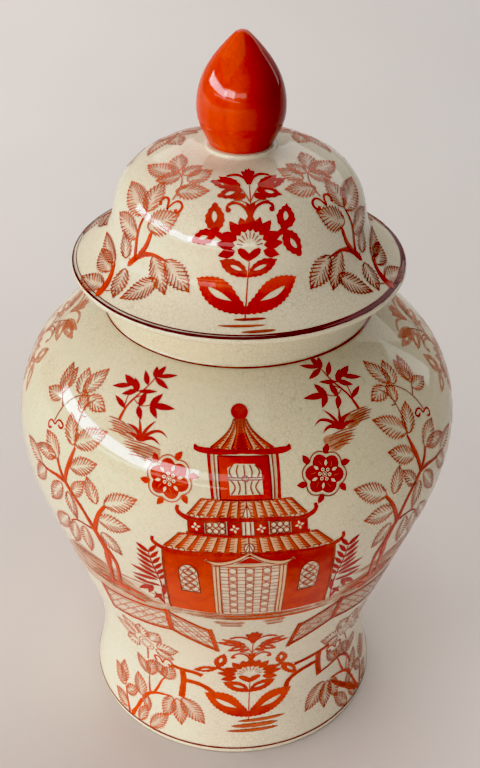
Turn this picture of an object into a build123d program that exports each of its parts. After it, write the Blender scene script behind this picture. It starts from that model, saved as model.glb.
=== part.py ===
from build123d import *

import os
from math import cos, radians, sin

# Covered ginger jar (temple jar) in slip-cast, crackle-glazed stoneware. Millimetres, +Z up.
#
# The origin is the centre of the foot, on the surface the jar stands on. Every piece is a body of
# revolution about Z. The jar is one casting. The lid is three castings that are stuck together
# with slip before firing: a domed lid with a sloping brim, a locating ring that drops into the
# jar's neck, and a hollow pointed finial.

# Jar: outer profile from the foot to the neck root, as (radius, height)
foot_radius = 75.5
foot_band_height = 4.0  # short upright edge at the floor
belly_radius = 105.8
belly_height = 167.0
waist_profile = [(71.8, 24.0), (71.1, 40.0), (75.3, 65.5), (81.9, 85.3), (95.6, 124.5), (102.1, 144.4)]
shoulder_profile = [(104.0, 185.6), (95.5, 204.4), (80.3, 219.2)]
neck_root_radius = 63.6
neck_root_height = 230.4
mouth_radius = 62.0
mouth_height = 256.0

# Jar: walls
wall = 4.2
floor_thickness = 5.5
foot_ring_width = 7.0
foot_recess = 3.5  # how far the floor stands above the table inside the foot ring
mouth_inner_radius = 57.5

# Lid
rim_radius = 76.9
rim_height = 252.0  # middle of the brim's rounded edge
rim_thickness = 3.6
brim_root_radius = 60.6
brim_root_height = 266.4
dome_radius = 57.4  # widest part of the dome above the brim
dome_base_height = 266.4
dome_rise = 40.6
dome_side_power = 0.83  # below 1 is squarer than an ellipse
dome_top_power = 0.64
dome_wall = 4.0
seat_height = mouth_height  # flat land under the lid that rests on the jar's mouth
seat_outer_radius = 64.0
ring_outer_radius = 55.6
ring_inner_radius = 51.6
ring_depth = 13.0
vent_radius = 4.0  # lets air out of the hollow finial in the kiln
collar_radius = 16.0
collar_height = 308.2

# Finial
finial_base_radius = 14.4
finial_belly_radius = 19.5
finial_belly_rise = 18.6
finial_height = 49.8
finial_tip_radius = 4.9  # rounding of the point
finial_tip_slope = 44.0  # degrees from level where the rounding starts
finial_wall = 4.0


def superellipse(angle, radius, rise, base):
    """Point of the dome's meridian: angle 0 is its side, 90 degrees its crown."""
    return (
        radius * cos(radians(angle)) ** dome_side_power,
        base + rise * sin(radians(angle)) ** dome_top_power,
    )


def inward(edge, share, depth):
    """Point at the given share of an edge, moved into the wall along the normal."""
    tangent = edge.tangent_at(share)
    return edge.position_at(share) + Vector(-tangent.Y, tangent.X) * depth


# Jar body: the wall follows the outer profile, and the floor is recessed inside the foot ring.
with BuildPart() as jar_body:
    with BuildSketch(Plane.XZ) as jar_section:
        with BuildLine():
            underside = Polyline(
                (0, foot_recess),
                (foot_radius - foot_ring_width - foot_recess, foot_recess),
                (foot_radius - foot_ring_width, 0),
                (foot_radius - 1.0, 0),
            )
            foot_edge = ThreePointArc(
                underside @ 1,
                (foot_radius - 0.2, 0.6),
                (foot_radius, foot_band_height / 2),
            )
            foot_band = Line(foot_edge @ 1, (foot_radius, foot_band_height))
            outside = Spline(
                foot_band @ 1,
                *waist_profile,
                (belly_radius, belly_height),
                *shoulder_profile,
                (neck_root_radius, neck_root_height),
                tangents=[(-0.25, 1), (-1, 0.62)],
            )
            neck_fillet = ThreePointArc(
                outside @ 1,
                (neck_root_radius - 1.25, neck_root_height + 0.85),
                (mouth_radius, neck_root_height + 3.0),
            )
            neck = Line(neck_fillet @ 1, (mouth_radius, mouth_height - 1.8))
            lip = Spline(
                neck @ 1,
                (mouth_radius - 0.9, mouth_height - 0.4),
                (mouth_radius - 2.2, mouth_height),
                tangents=[(0, 1), (-1, 0)],
            )
            lip_top = Line(lip @ 1, (mouth_inner_radius + 1.2, mouth_height))
            lip_inside = ThreePointArc(
                lip_top @ 1,
                (mouth_inner_radius + 0.35, mouth_height - 0.35),
                (mouth_inner_radius, mouth_height - 1.2),
            )
            throat = Line(lip_inside @ 1, (mouth_inner_radius, neck_root_height))
            wall_top = inward(outside, 0.97, wall)
            throat_turn = Spline(
                throat @ 1,
                wall_top,
                tangents=[(0, -1), outside.tangent_at(0.97) * -1],
            )
            inside = Spline(
                wall_top,
                *[inward(outside, share / 100, wall) for share in (89, 80, 70, 60, 50, 40, 30, 20, 13, 7)],
            )
            floor_corner = Spline(
                inside @ 1,
                (foot_radius - wall - 5.0, foot_recess + floor_thickness + 2.2),
                (foot_radius - wall - 12.0, foot_recess + floor_thickness),
                tangents=[inside % 1, (-1, 0)],
            )
            inside_floor = Line(floor_corner @ 1, (0, foot_recess + floor_thickness))
            Line(inside_floor @ 1, underside @ 0)
        make_face()
    revolve(axis=Axis.Z)
jar_body.part.label = "jar_body"

# Lid: brim and dome in one casting, with a small collar for the finial.
with BuildPart() as lid_dome:
    with BuildSketch(Plane.XZ) as lid_section:
        with BuildLine():
            crown = Line((vent_radius, collar_height), (collar_radius - 0.9, collar_height))
            collar_edge = ThreePointArc(
                crown @ 1,
                (collar_radius - 0.2, collar_height - 0.35),
                (collar_radius, collar_height - 1.0),
            )
            dome_outside = Spline(
                *[superellipse(a, dome_radius, dome_rise, dome_base_height) for a in (66, 52, 38, 24, 12)],
                (dome_radius + 0.5, dome_base_height + 7.0),
                (brim_root_radius, brim_root_height),
                tangents=[(1, -0.17), (0.62, -1)],
            )
            collar_flare = Spline(
                collar_edge @ 1,
                (collar_radius + 1.3, collar_height - 1.9),
                dome_outside @ 0,
                tangents=[(0.1, -1), (1, -0.17)],
            )
            brim_top = Spline(
                dome_outside @ 1,
                (rim_radius - 1.9, rim_height + rim_thickness / 2 - 0.1),
                tangents=[(0.62, -1), (1, -0.72)],
            )
            rim = ThreePointArc(
                brim_top @ 1,
                (rim_radius, rim_height),
                (rim_radius - 1.5, rim_height - rim_thickness / 2),
            )
            brim_under = Line(rim @ 1, (seat_outer_radius, seat_height))
            seat = Line(brim_under @ 1, (ring_inner_radius, seat_height))
            dome_foot = Line(seat @ 1, (dome_radius - dome_wall - 1.0, dome_base_height + 3.0))
            dome_inside = Spline(
                dome_foot @ 1,
                *[
                    superellipse(a, dome_radius - dome_wall, dome_rise - dome_wall, dome_base_height)
                    for a in (16, 30, 46, 62, 78)
                ],
                (vent_radius, dome_base_height + dome_rise - dome_wall),
                tangents=[(0.1, 1), (-1, 0)],
            )
            Line(dome_inside @ 1, crown @ 0)
        make_face()
    revolve(axis=Axis.Z)
lid_dome.part.label = "lid_dome"

# Locating ring: hangs from the lid's seat and centres the lid in the jar's neck.
with BuildPart() as lid_locating_ring:
    with BuildSketch(Plane.XZ):
        with Locations(((ring_inner_radius + ring_outer_radius) / 2, seat_height - ring_depth / 2)):
            Rectangle(ring_outer_radius - ring_inner_radius, ring_depth)
    revolve(axis=Axis.Z)
    bottom_edges = edges().filter_by(GeomType.CIRCLE).group_by(Axis.Z)[0]
    fillet(bottom_edges, radius=1.6)
lid_locating_ring.part.label = "lid_locating_ring"

# Finial: a pointed bud, cast hollow and open at the bottom over the lid's vent.
with BuildPart() as lid_finial:
    with BuildSketch(Plane.XZ):
        with BuildLine():
            base = Line(
                (finial_base_radius - finial_wall, collar_height),
                (finial_base_radius - 0.5, collar_height),
            )
            base_edge = ThreePointArc(
                base @ 1,
                (finial_base_radius - 0.1, collar_height + 0.2),
                (finial_base_radius, collar_height + 0.6),
            )
            tip_start = (
                finial_tip_radius * sin(radians(finial_tip_slope)),
                collar_height + finial_height - finial_tip_radius * (1 - cos(radians(finial_tip_slope))),
            )
            bud = Spline(
                base_edge @ 1,
                (finial_belly_radius * 0.97, collar_height + finial_belly_rise * 0.6),
                (finial_belly_radius, collar_height + finial_belly_rise),
                (finial_belly_radius * 0.845, collar_height + finial_height * 0.62),
                (finial_belly_radius * 0.44, collar_height + finial_height * 0.86),
                tip_start,
                tangents=[(0.42, 1), (-cos(radians(finial_tip_slope)), sin(radians(finial_tip_slope)))],
            )
            tip = TangentArc(bud @ 1, (0, collar_height + finial_height), tangent=bud % 1)
            tip_wall = Line(tip @ 1, (0, collar_height + finial_height - 2.4 * finial_wall))
            hollow = Spline(
                tip_wall @ 1,
                (finial_belly_radius * 0.845 - finial_wall * 1.1, collar_height + finial_height * 0.6),
                (finial_belly_radius - finial_wall, collar_height + finial_belly_rise),
                base @ 0,
                tangents=[(1, -0.6), (-0.42, -1)],
            )
        make_face()
    revolve(axis=Axis.Z)
lid_finial.part.label = "lid_finial"

os.makedirs("parts", exist_ok=True)
for piece in (jar_body, lid_dome, lid_locating_ring, lid_finial):
    export_step(piece.part, f"parts/{piece.part.label}.step")
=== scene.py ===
"""Looks of a covered ginger jar: crackle-glazed stoneware with iron-red painting. Metres, +Z up.

The shells are turned from the jar's and the lid's own meridians. The painting is thin sheets that
follow those shells. A painted point is (angle, rise): degrees round the axis from the front, and
millimetres of surface up from the foot or from the lid's rim.
"""
import math
import random

import bpy
import numpy as np
from mathutils import Matrix, Vector
from mathutils.geometry import delaunay_2d_cdt


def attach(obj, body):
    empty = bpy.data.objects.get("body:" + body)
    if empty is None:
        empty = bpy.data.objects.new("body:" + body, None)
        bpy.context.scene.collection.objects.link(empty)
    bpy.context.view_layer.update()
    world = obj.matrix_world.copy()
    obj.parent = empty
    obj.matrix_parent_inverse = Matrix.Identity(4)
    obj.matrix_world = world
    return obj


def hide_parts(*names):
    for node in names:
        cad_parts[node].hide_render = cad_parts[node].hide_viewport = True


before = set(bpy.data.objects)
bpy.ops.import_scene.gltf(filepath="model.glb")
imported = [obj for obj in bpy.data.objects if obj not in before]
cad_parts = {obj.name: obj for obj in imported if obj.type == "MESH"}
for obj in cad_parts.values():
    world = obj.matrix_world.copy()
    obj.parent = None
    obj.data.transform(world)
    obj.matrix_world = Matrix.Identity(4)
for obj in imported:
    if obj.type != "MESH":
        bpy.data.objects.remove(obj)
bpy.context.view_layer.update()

MM = 0.001
WALL = 4.2  # millimetres
LIP = 256.0  # height of the jar's lip, where the lid's seat rests
SEGMENTS = 180  # round each turned shell


# ---------------------------------------------------------------- curves and turned shells

def spline(points, start=None, end=None, step=1.5):
    """Points about step apart on a smooth curve through the given ones. start, end: directions."""
    p = np.array(points, float)
    n = len(p)
    if n == 2 and start is None and end is None:
        count = max(2, int(np.linalg.norm(p[1] - p[0]) / step) + 1)
        return p[0] + (p[1] - p[0]) * np.linspace(0, 1, count)[:, None]
    h = np.maximum(np.linalg.norm(np.diff(p, axis=0), axis=1), 1e-6)
    a, b = np.zeros((n, n)), np.zeros((n, 2))
    for i in range(1, n - 1):
        a[i, i - 1:i + 2] = h[i], 2 * (h[i - 1] + h[i]), h[i - 1]
        b[i] = 3 * (h[i] / h[i - 1] * (p[i] - p[i - 1]) + h[i - 1] / h[i] * (p[i + 1] - p[i]))
    for row, near, way, chord in ((0, 1, start, p[1] - p[0]), (n - 1, n - 2, end, p[-1] - p[-2])):
        if way is None:
            a[row, row], a[row, near] = 2, 1
            b[row] = 3 * chord / np.linalg.norm(chord)
        else:
            a[row, row] = 1
            b[row] = np.array(way, float) / np.linalg.norm(way)
    m = np.linalg.solve(a, b)
    out = [p[:1]]
    for i in range(n - 1):
        t = np.linspace(0, 1, max(2, int(h[i] / step) + 1))[1:, None]
        out.append(
            (2 * t**3 - 3 * t**2 + 1) * p[i] + (t**3 - 2 * t**2 + t) * h[i] * m[i]
            + (3 * t**2 - 2 * t**3) * p[i + 1] + (t**3 - t**2) * h[i] * m[i + 1]
        )
    return np.concatenate(out)


def bulge(a, middle, b, count=6):
    """A rounded corner: points of the curve from a to b that passes through middle."""
    a, middle, b = (np.array(q, float) for q in (a, middle, b))
    pull = 2 * middle - (a + b) / 2
    t = np.linspace(0, 1, count)[:, None]
    return (1 - t) ** 2 * a + 2 * t * (1 - t) * pull + t**2 * b


def inset(profile, depth):
    """The profile moved inwards, for the hidden face of a wall of even thickness."""
    along = np.gradient(profile, axis=0)
    along /= np.linalg.norm(along, axis=1)[:, None]
    return profile + depth * np.stack([-along[:, 1], along[:, 0]], 1)


def finish_mesh(name, verts, faces, materials, slots, body, smooth_angle=40):
    """A smooth mesh that rides on a body. slots holds each face's place in materials."""
    mesh = bpy.data.meshes.new(name)
    mesh.from_pydata([tuple(v) for v in verts], [], faces)
    for material in materials:
        mesh.materials.append(material)
    mesh.polygons.foreach_set("material_index", slots)
    mesh.polygons.foreach_set("use_smooth", [True] * len(faces))
    mesh.set_sharp_from_angle(angle=math.radians(smooth_angle))
    mesh.update()
    obj = bpy.data.objects.new(name, mesh)
    bpy.context.scene.collection.objects.link(obj)
    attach(obj, body)
    return obj


def turned(name, meridian, materials, body, pick):
    """A closed body of revolution from its meridian in millimetres, which may start or end on the axis.

    pick gives a face's place in materials from its radius and height; without it, every face has the first.
    """
    keep = [meridian[0]]
    for q in meridian[1:]:
        if np.linalg.norm(q - keep[-1]) > 0.02:
            keep.append(q)
    rings, verts, faces, slots = [], [], [], []
    angles = [2 * math.pi * k / SEGMENTS for k in range(SEGMENTS)]
    turns = [(math.sin(a), math.cos(a)) for a in angles]
    for r, z in keep:
        if r < 0.01:
            rings.append([len(verts)] * SEGMENTS)
            verts.append((0, 0, z * MM))
        else:
            rings.append(range(len(verts), len(verts) + SEGMENTS))
            verts += [(r * s * MM, -r * c * MM, z * MM) for s, c in turns]
    closed = keep[0][0] > 0.01 and keep[-1][0] > 0.01
    for i in range(len(rings) if closed else len(rings) - 1):
        j = (i + 1) % len(rings)
        slot = pick(*((keep[i] + keep[j]) / 2)) if pick else 0
        for k in range(SEGMENTS):
            m = (k + 1) % SEGMENTS
            corners = [rings[i][k], rings[i][m], rings[j][m], rings[j][k]]
            faces.append(list(dict.fromkeys(corners)))
            slots.append(slot)
    return finish_mesh(name, verts, faces, materials, slots, body)


def superellipse(angle, radius, rise, base):
    """A point of the dome's outline, angle degrees up from its foot."""
    t = math.radians(angle)
    return radius * math.cos(t) ** 0.83, base + rise * math.sin(t) ** 0.64


def jar_outside():
    """The jar's outer face from the foot's edge to the lip."""
    flank = spline(
        [(75.5, 4), (71.8, 24), (71.1, 40), (75.3, 65.5), (81.9, 85.3), (95.6, 124.5), (102.1, 144.4),
         (105.8, 167), (104, 185.6), (95.5, 204.4), (80.3, 219.2), (63.6, 230.4)],
        (-0.25, 1), (-1, 0.62),
    )
    root = bulge((63.6, 230.4), (62.35, 231.25), (62, 233.4))
    return flank, np.concatenate([root, [(62, 240), (62, 247), (62, 254.2)]])


def lid_outside():
    """The lid's outer face from the rim's edge to the finial's collar."""
    brim = spline([(75, 253.7), (60.6, 266.4)], (-1, 0.72), (-0.62, 1), 1.2)
    dome = spline(
        [(60.6, 266.4), (57.9, 273.4)] + [superellipse(a, 57.4, 40.6, 266.4) for a in (12, 24, 38, 52, 66)],
        (-0.62, 1), (-1, 0.17),
    )
    flare = spline([dome[-1], (17.3, 306.3), (16, 307.2)], (-1, 0.17), (-0.1, 1), 0.5)
    return np.concatenate([bulge((76.9, 252), (76.5, 253.2), (75, 253.7), 5), brim, dome, flare])


def jar_meridian():
    """The jar's whole section: foot ring, outside, lip, inside, floor."""
    flank, neck = jar_outside()
    share = np.linspace(0, 1, len(flank))
    inner = inset(flank, WALL)[(share > 0.08) & (share < 0.96)][::-1]
    return np.concatenate([
        [(0, 3.5), (30, 3.5), (65, 3.5), (68.5, 0), (74.5, 0)],
        bulge((74.5, 0), (75.3, 0.6), (75.5, 2)),
        flank,
        neck,
        bulge((62, 254.2), (61.3, 255.5), (59.8, LIP)),
        bulge((58.7, LIP), (57.85, 255.65), (57.5, 254.8)),
        [(57.5, 246), (57.5, 238)],
        spline([(57.5, 230.4), inner[0]], (0, -1), inner[1] - inner[0]),
        inner,
        spline([inner[-1], (66.3, 11.2), (59.3, 9)], inner[-1] - inner[-2], (-1, 0)),
        [(30, 9), (0, 9)],
    ])


def lid_meridian():
    """The lid's whole section: outside, collar, vent, inside, seat, rim."""
    inner = spline(
        [(52.4, 269.4)] + [superellipse(a, 53.4, 36.6, 266.4) for a in (16, 30, 46, 62, 78)] + [(4, 303)],
        (0.1, 1), (-1, 0),
    )
    return np.concatenate([
        lid_outside(),
        bulge((16, 307.2), (15.8, 307.85), (15.1, 308.2)),
        [(10, 308.2), (4, 308.2)],
        inner[::-1],
        [(r, LIP) for r in (51.6, 55.6, 60, 64)],
        bulge((75.4, 250.2), (76.5, 250.8), (76.9, 252), 5),
    ])


def finial_meridian():
    """The finial's section: hollow, foot, outside, tip."""
    bud = spline(
        [(14.4, 308.8), (18.92, 319.36), (19.5, 326.8), (16.48, 339.08), (8.58, 351.03), (3.4, 356.6)],
        (0.42, 1), (-0.72, 0.69), 1.0,
    )
    hollow = spline([(0, 348.4), (12.1, 338.1), (15.5, 326.8), (10.4, 308.2)], (1, -0.6), (-0.42, -1))
    return np.concatenate([hollow, [(13.9, 308.2)], bud,
                           bulge((3.4, 356.6), (1.8, 357.65), (0, 358))])


# ---------------------------------------------------------------- materials

GLAZE_COAT = 0.8
SHADERS = {bpy.types.Material: "Principled BSDF", bpy.types.World: "Background"}

class Nodes:
    """Short calls for building the nodes of one material or of the world."""

    def __init__(self, owner, place="Object"):
        owner.use_nodes = True
        self.owner = owner
        self.tree = owner.node_tree
        self.shader = self.tree.nodes[SHADERS[type(owner)]]
        self.place = self.add("TexCoord").outputs[place]

    def add(self, kind, sockets=None, **settings):
        """A new node. sockets are values or links, by the input's name or number."""
        node = self.tree.nodes.new("ShaderNode" + kind)
        for key, value in settings.items():
            setattr(node, key, value)
        for key, value in (sockets or {}).items():
            self.put(node.inputs[key], value)
        return node

    def put(self, socket, value):
        if isinstance(value, bpy.types.NodeSocket):
            self.tree.links.new(value, socket)
        else:
            socket.default_value = (*value, 1.0) if socket.type == "RGBA" else value

    def axis(self, letter):
        return self.add("SeparateXYZ", {0: self.place}).outputs[letter]

    def stretched(self, x, y, z):
        return self.add("Mapping", {"Vector": self.place, "Scale": (x, y, z)}).outputs[0]

    def noise(self, scale, detail=3.0, at=None):
        sockets = {"Scale": scale, "Detail": detail, "Roughness": 0.55, "Vector": at or self.place}
        return self.add("TexNoise", sockets).outputs["Fac"]

    def cells(self, scale, feature, at=None):
        node = self.add("TexVoronoi", {"Scale": scale, "Vector": at or self.place}, feature=feature)
        return node.outputs["Distance"]

    def ramp(self, value, low, high, out_low=0.0, out_high=1.0, curve="SMOOTHSTEP"):
        """out_low up to low, out_high from high on."""
        sockets = {"Value": value, "From Min": low, "From Max": high, "To Min": out_low, "To Max": out_high}
        return self.add("MapRange", sockets, interpolation_type=curve).outputs["Result"]

    def math(self, operation, a, b=0.0):
        return self.add("Math", {0: a, 1: b}, operation=operation).outputs[0]

    def mix(self, share, a, b, blend="MIX"):
        return self.add("Mix", {0: share, 6: a, 7: b}, data_type="RGBA", blend_type=blend).outputs[2]

    def bump(self, height, distance, strength=1.0):
        node = self.add("Bump", {"Height": height, "Distance": distance, "Strength": strength})
        self.put(self.shader.inputs["Normal"], node.outputs["Normal"])

    def shade(self, tone, roughness, coat=None, coat_roughness=0.055):
        """The material. Under a coat, only the coat is glossy."""
        sockets = {"Base Color": tone, "Roughness": roughness}
        if coat is not None:
            sockets |= {"Specular IOR Level": 0.0, "Coat Weight": coat, "Coat Roughness": coat_roughness,
                        "Coat IOR": 1.5}
        for key, value in sockets.items():
            self.put(self.shader.inputs[key], value)
        return self.owner

    def coat(self):
        """The gloss of the glaze, duller where it lies thin in the fold above the lid's brim."""
        rise = self.axis("Z")
        above, below = self.ramp(rise, 0.2545, 0.257), self.ramp(rise, 0.267, 0.274, 1.0, 0.0)
        fold = self.math("MULTIPLY", above, below)
        return self.math("SUBTRACT", GLAZE_COAT, self.math("MULTIPLY", fold, 0.68))

    def crackle(self, size, width):
        """1 on the crackle lines of the glaze, 0 elsewhere. size and width in metres."""
        warp = self.add("TexNoise", {"Scale": 90.0, "Detail": 2.0, "Vector": self.place}).outputs["Color"]
        sway = (0.006, 0.006, 0.006)
        bend = self.add("VectorMath", {0: warp, 1: sway, 2: self.place}, operation="MULTIPLY_ADD")
        edge = self.cells(1 / size, "DISTANCE_TO_EDGE", bend.outputs[0])
        return self.ramp(edge, width / size * 0.3, width / size, 1.0, 0.0)


def glaze(name, cream, warm, cool):
    """Clear crackle glaze over a cream body, slightly uneven in tone and thickness."""
    n = Nodes(bpy.data.materials.new(name))
    tone = n.mix(n.ramp(n.noise(9.0), 0.35, 0.65), warm, cool)
    tone = n.mix(n.ramp(n.noise(16.0, 4.0), 0.52, 0.78, 0.0, 0.28), tone, (0.60, 0.48, 0.30))
    tone = n.mix(n.ramp(n.noise(45.0), 0.3, 0.7, 0.35, 0.75), tone, cream)
    tone = n.mix(n.ramp(n.noise(420.0, 4.0), 0.35, 0.75, 0.0, 0.10), tone, (0.46, 0.40, 0.29))
    # yellower over the shoulder; lighter towards the foot: painted light, where the foot's flare faces up to
    # the room
    rise = n.axis("Z")
    shoulder = n.math("MULTIPLY", n.ramp(rise, 0.14, 0.20), n.ramp(rise, 0.235, 0.262, 0.9, 0.2))
    tone = n.mix(shoulder, tone, (0.97, 0.965, 0.88), "MULTIPLY")
    tone = n.mix(n.ramp(rise, 0.06, 0.11, 1.0, 0.0), tone, (1.14, 1.13, 1.12), "MULTIPLY")
    # brown crackle lines, wide and fine, stronger in some places than in others
    wide, fine = n.crackle(0.0040, 0.00011), n.crackle(0.0019, 0.00012)
    strength = n.ramp(n.noise(30.0), 0.3, 0.7, 0.08, 0.24)
    tone = n.mix(n.math("MULTIPLY", wide, n.math("MULTIPLY", strength, 0.55)), tone, (0.34, 0.26, 0.17))
    tone = n.mix(n.math("MULTIPLY", fine, n.math("MULTIPLY", strength, 1.5)), tone, (0.40, 0.32, 0.22))
    specks = n.ramp(n.cells(70.0, "F1"), 0.016, 0.03, 0.3, 0.0)
    tone = n.mix(specks, tone, (0.24, 0.15, 0.08))
    n.bump(n.math("ADD", n.noise(60.0, 2.0), n.math("MULTIPLY", wide, -0.12)), 0.00035, 0.5)
    return n.shade(tone, n.ramp(n.noise(150.0), 0.3, 0.7, 0.3, 0.45), n.coat())


def paint(name, pale, deep, thin=0.0):
    """Iron-red painting under the gloss: the stroke's own tone, dry-brush streaks and crackle."""
    n = Nodes(bpy.data.materials.new(name))
    own = n.add("Attribute", attribute_name="tone").outputs["Fac"]
    streak = n.ramp(n.noise(700.0), 0.3, 0.75)
    pool = n.ramp(n.noise(130.0), 0.32, 0.68)
    share = n.math("ADD", n.math("MULTIPLY", own, 0.9), n.math("MULTIPLY", pool, 0.24))
    share = n.math("ADD", share, n.math("MULTIPLY", streak, 0.12))
    share = n.math("SUBTRACT", share, 0.14)
    tone = n.mix(n.ramp(share, 0.0, 1.0), pale, deep)
    tone = n.mix(n.math("MULTIPLY", n.crackle(0.0046, 0.00013), 0.15), tone, (0.12, 0.02, 0.01))
    n.bump(n.noise(60.0, 2.0), 0.00035, 0.5)
    if thin:
        patchy = n.ramp(n.noise(240.0, 4.0), 0.25, 0.7, 0.45, 1.0)
        n.put(n.shader.inputs["Alpha"], n.math("MULTIPLY", patchy, n.math("MULTIPLY", own, thin)))
    return n.shade(tone, n.ramp(streak, 0.0, 1.0, 0.3, 0.45), n.coat())


def coral():
    """The finial's thick iron-red glaze, streaked down its sides, with painted shade darkening its right
    side.
    """
    n = Nodes(bpy.data.materials.new("coral_glaze"))
    streak = n.ramp(n.noise(160.0, 4.0, n.stretched(1.0, 1.0, 0.25)), 0.3, 0.7)
    tone = n.mix(streak, (0.71, 0.068, 0.006), (0.61, 0.044, 0.004))
    tone = n.mix(n.ramp(n.noise(900.0), 0.5, 0.8, 0.0, 0.3), tone, (0.66, 0.07, 0.005))
    tone = n.mix(n.math("MULTIPLY", n.crackle(0.003, 0.00012), 0.2), tone, (0.2, 0.006, 0.0))
    # throwing rings under the glaze
    ridge = n.ramp(n.noise(330.0, 2.0, n.stretched(0.12, 0.12, 1.0)), 0.6, 0.8)
    tone = n.mix(n.math("MULTIPLY", ridge, 0.22), tone, (0.74, 0.12, 0.012))
    # painted shade: the glaze colour deepens to dark red across the finial's right, the side away from the
    # light
    tone = n.mix(n.ramp(n.axis("X"), -0.0035, 0.017, 0.0, 0.96), tone, (0.25, 0.005, 0.001))
    n.bump(n.math("ADD", n.noise(70.0, 2.0), n.math("MULTIPLY", ridge, 0.3)), 0.0005, 0.6)
    return n.shade(tone, n.ramp(streak, 0.0, 1.0, 0.3, 0.45), GLAZE_COAT, 0.08)


def bare():
    """Unglazed stoneware: dry, sandy, a little stained."""
    n = Nodes(bpy.data.materials.new("bare_stoneware"))
    tone = n.mix(n.ramp(n.noise(40.0, 5.0), 0.35, 0.7), (0.62, 0.5, 0.36), (0.44, 0.33, 0.22))
    tone = n.mix(n.ramp(n.noise(1400.0, 2.0), 0.5, 0.8, 0.0, 0.5), tone, (0.28, 0.2, 0.13))
    n.bump(n.noise(1500.0), 0.0003, 0.6)
    return n.shade(tone, 0.9)


CREAM = glaze("cream_crackle_glaze", (0.74, 0.665, 0.525), (0.77, 0.68, 0.515), (0.69, 0.635, 0.515))
BARE = bare()
CORAL = coral()


# ---------------------------------------------------------------- shells

def sole_and_lip(r, z):
    """Where the jar is bare: under its foot ring and on top of its lip."""
    return int(z < 0.4 or (z > LIP - 0.3 and r > 57))


def seat(r, z):
    """Where the lid is bare: on the flat that rests on the lip."""
    return int(abs(z - LIP) < 0.2 and r < 64)


def build_shells():
    """Clean shells in place of the CAD's, and bare clay on the locating ring."""
    for name, meridian, materials, body, pick, node, slot in (
        ("jar_shell", jar_meridian(), [CREAM, BARE], "jar", sole_and_lip, "jar_body", "cream_crackle_glaze"),
        ("lid_shell", lid_meridian(), [CREAM, BARE], "lid", seat, "lid_dome", "cream_crackle_glaze"),
        ("finial_shell", finial_meridian(), [CORAL], "lid", None, "lid_finial", "coral_glaze"),
    ):
        shell = turned(name, meridian, materials, body, pick)
        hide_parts(node)
    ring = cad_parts["lid_locating_ring"]
    ring.data.materials.clear()
    ring.data.materials.append(BARE)


# ---------------------------------------------------------------- painting on the shells

RED = paint("red_enamel", (0.72, 0.078, 0.011), (0.41, 0.011, 0.007))
LINE = paint("line_enamel", (0.68, 0.135, 0.048), (0.21, 0.014, 0.008))
WASH = paint("thin_enamel", (0.68, 0.24, 0.10), (0.60, 0.13, 0.03), 0.9)
MAROON = paint("maroon_enamel", (0.15, 0.004, 0.008), (0.06, 0.002, 0.004))
PALE = paint("pale_enamel", (0.74, 0.53, 0.34), (0.66, 0.33, 0.16))
# each ink's material, and how far it lies off the shell in millimetres
INKS = {
    "wash": (WASH, 0.05), "pale": (PALE, 0.10), "red": (RED, 0.15), "maroon": (MAROON, 0.15),
    "reserve": (CREAM, 0.20), "trim": (PALE, 0.20), "line": (LINE, 0.25),
}
# an ink's sheets take turns on these layers, so that strokes that cross lie one over the other
LAYER_STEP = 0.0012
LAYERS = 36
hand = random.Random(7)


class Skin:
    """A shell's outer face, addressed by degrees round the axis and millimetres of rise."""

    def __init__(self, profile, body):
        gaps = np.linalg.norm(np.diff(profile, axis=0), axis=1)
        profile = profile[np.concatenate([[True], gaps > 0.05])]
        self.profile, self.body = profile, body
        steps = np.linalg.norm(np.diff(profile, axis=0), axis=1)
        self.rise = np.concatenate([[0], np.cumsum(steps)])
        along = np.gradient(profile, self.rise, axis=0)
        self.along = along / np.linalg.norm(along, axis=1)[:, None]

    def scale(self, rise):
        """Millimetres per degree at that rise."""
        return float(np.interp(rise, self.rise, self.profile[:, 0])) * math.pi / 180

    def place(self, angle, rise, lift):
        """Points in metres, lift millimetres off the skin, and the skin's outward directions there."""
        r, z = (np.interp(rise, self.rise, self.profile[:, i]) for i in (0, 1))
        dr, dz = (np.interp(rise, self.rise, self.along[:, i]) for i in (0, 1))
        s, c = np.sin(np.radians(angle)), -np.cos(np.radians(angle))
        points = np.stack([(r + lift * dz) * s, (r + lift * dz) * c, z - lift * dr], 1) * MM
        return points, np.stack([dz * s, dz * c, -dr], 1)


def inside(points, loops):
    """Which points lie inside an odd number of the loops."""
    odd = np.zeros(len(points), bool)
    for loop in loops:
        for (x0, y0), (x1, y1) in zip(loop, np.roll(loop, -1, axis=0)):
            if y0 != y1:
                crosses = (y0 > points[:, 1]) != (y1 > points[:, 1])
                odd ^= crosses & (points[:, 0] < x0 + (points[:, 1] - y0) * (x1 - x0) / (y1 - y0))
    return odd


def as_drawn(angle, rise):
    """The plain placing: a motif's points stay where it draws them."""
    return angle, rise


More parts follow.
